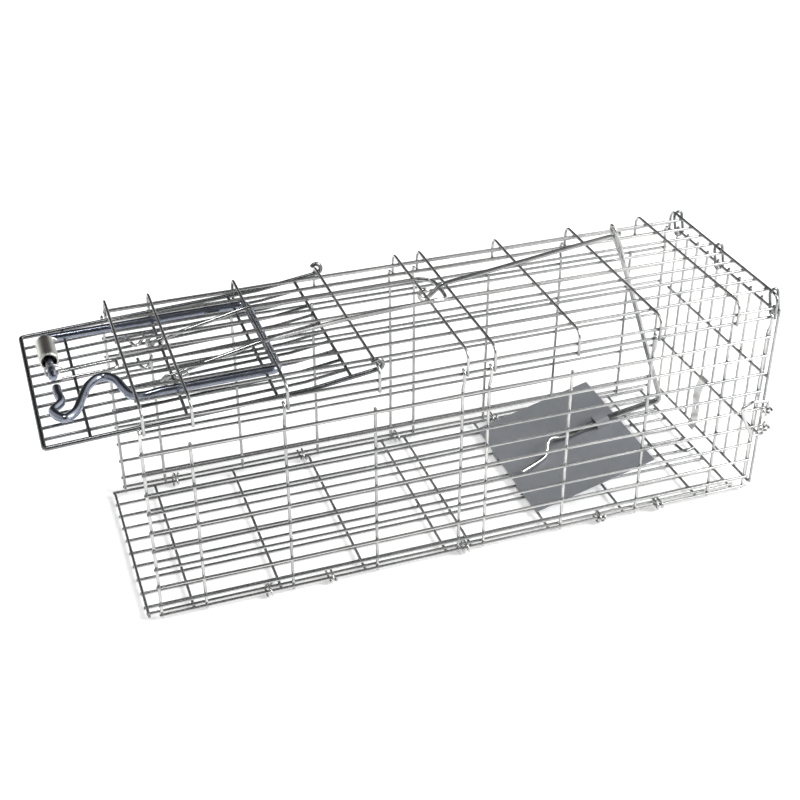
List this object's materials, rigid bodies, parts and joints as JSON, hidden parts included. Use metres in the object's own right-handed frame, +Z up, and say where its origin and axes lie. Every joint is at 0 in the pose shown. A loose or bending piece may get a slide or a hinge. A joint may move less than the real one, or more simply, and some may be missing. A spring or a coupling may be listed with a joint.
{
  "type": "live catch trap",
  "caption": "Welded wire live catch trap with a raised drop door, locking bail, treadle trigger and hinged rear door.",
  "frame": {"origin": "bottom centre of the whole trap's bounding box", "axes": "+X runs from the front (drop door) end to the rear door, +Y across to the far side, +Z up"},
  "size_m": [0.4298, 0.138, 0.1661],
  "materials": {
    "bright_zinc_wire": "bright galvanised wire",
    "dull_zinc_wire": "dull galvanised wire",
    "blue_zinc_rod": "zinc plated rod with a faint blue cast",
    "steel_tube": "plain zinc plated tube",
    "grey_zinc_sheet": "matt galvanised sheet"
  },
  "bodies": {
    "cage": {"roof_panel": "bright_zinc_wire", "near_side_panel": "bright_zinc_wire", "far_side_panel": "bright_zinc_wire", "floor_panel": "bright_zinc_wire", "rear_catch": "dull_zinc_wire", "far_floor_clip_1": "bright_zinc_wire", "far_floor_clip_2": "bright_zinc_wire", "far_floor_clip_3": "bright_zinc_wire", "far_floor_clip_4": "bright_zinc_wire", "near_floor_clip_1": "bright_zinc_wire", "near_floor_clip_2": "bright_zinc_wire", "near_floor_clip_3": "bright_zinc_wire", "near_floor_clip_4": "bright_zinc_wire", "near_floor_clip_5": "bright_zinc_wire"},
    "front_door": {"front_door_panel": "dull_zinc_wire", "door_v_wire": "bright_zinc_wire", "door_j_wire": "bright_zinc_wire", "door_hairpin_wire": "bright_zinc_wire"},
    "lock_bail": {"lock_bail": "blue_zinc_rod", "roller_stop_inner": "bright_zinc_wire", "roller_stop_outer": "bright_zinc_wire", "bail_clamp": "bright_zinc_wire"},
    "bail_roller": {"bail_roller": "steel_tube"},
    "trigger_loop": {"trigger_loop": "bright_zinc_wire"},
    "trigger_rod": {"trigger_rod": "bright_zinc_wire"},
    "treadle": {"treadle_pan": "grey_zinc_sheet", "trigger_link": "bright_zinc_wire"},
    "rear_door": {"rear_door_panel": "bright_zinc_wire", "rear_hinge_ring_1": "dull_zinc_wire", "rear_hinge_ring_2": "dull_zinc_wire", "rear_hinge_ring_3": "dull_zinc_wire"},
    "rear_latch_plate": {"rear_latch_plate": "bright_zinc_wire"},
    "rear_latch_wire": {"rear_latch_wire": "bright_zinc_wire"}
  },
  "joints": [
    {"name": "front_door_hinge", "type": "hinge", "parent": "cage", "child": "front_door", "pos_m": [-0.0371, 0.002, 0.1397], "axis": [0, 1, 0], "range_deg": [-43.5, 0]},
    {"name": "lock_bail_pivot", "type": "hinge", "parent": "cage", "child": "lock_bail", "pos_m": [-0.0857, 0.002, 0.1347], "axis": [0, 1, 0], "range_deg": [-60.9, 0]},
    {"name": "bail_roller_spin", "type": "hinge", "parent": "lock_bail", "child": "bail_roller", "pos_m": [-0.2016, 0.02525, 0.133], "axis": [0, 1, 0], "continuous": true},
    {"name": "treadle_hinge", "type": "hinge", "parent": "cage", "child": "treadle", "pos_m": [0.07125, 0.002, 0.0024], "axis": [0, 1, 0], "range_deg": [0, 12]},
    {"name": "trigger_rod_hinge", "type": "hinge", "parent": "cage", "child": "trigger_rod", "pos_m": [0.0137, 0.002, 0.1397], "axis": [0, 1, 0], "range_deg": [-3, 0]},
    {"name": "trigger_loop_hinge", "type": "hinge", "parent": "cage", "child": "trigger_loop", "pos_m": [-0.0879, 0.002, 0.1397], "axis": [0, 1, 0], "range_deg": [-0.12, 0]},
    {"name": "rear_door_hinge", "type": "hinge", "parent": "cage", "child": "rear_door", "pos_m": [0.2075, 0.002, 0.1397], "axis": [0, 1, 0], "range_deg": [-110, 0]},
    {"name": "rear_latch_plate_hinge", "type": "hinge", "parent": "rear_door", "child": "rear_latch_plate", "pos_m": [0.2098, 0.002, 0.043], "axis": [0, 1, 0], "range_deg": [0, 20]},
    {"name": "rear_latch_wire_hinge", "type": "hinge", "parent": "cage", "child": "rear_latch_wire", "pos_m": [0.2109, -0.065, 0.0559], "axis": [0, 0, 1], "range_deg": [0, 225]}
  ],
  "couplings": [
    {"joint": "lock_bail_pivot", "follows": "front_door_hinge", "ratio": 1.4},
    {"joint": "trigger_rod_hinge", "follows": "treadle_hinge", "ratio": -0.25},
    {"joint": "trigger_loop_hinge", "follows": "treadle_hinge", "ratio": -0.01}
  ]
}
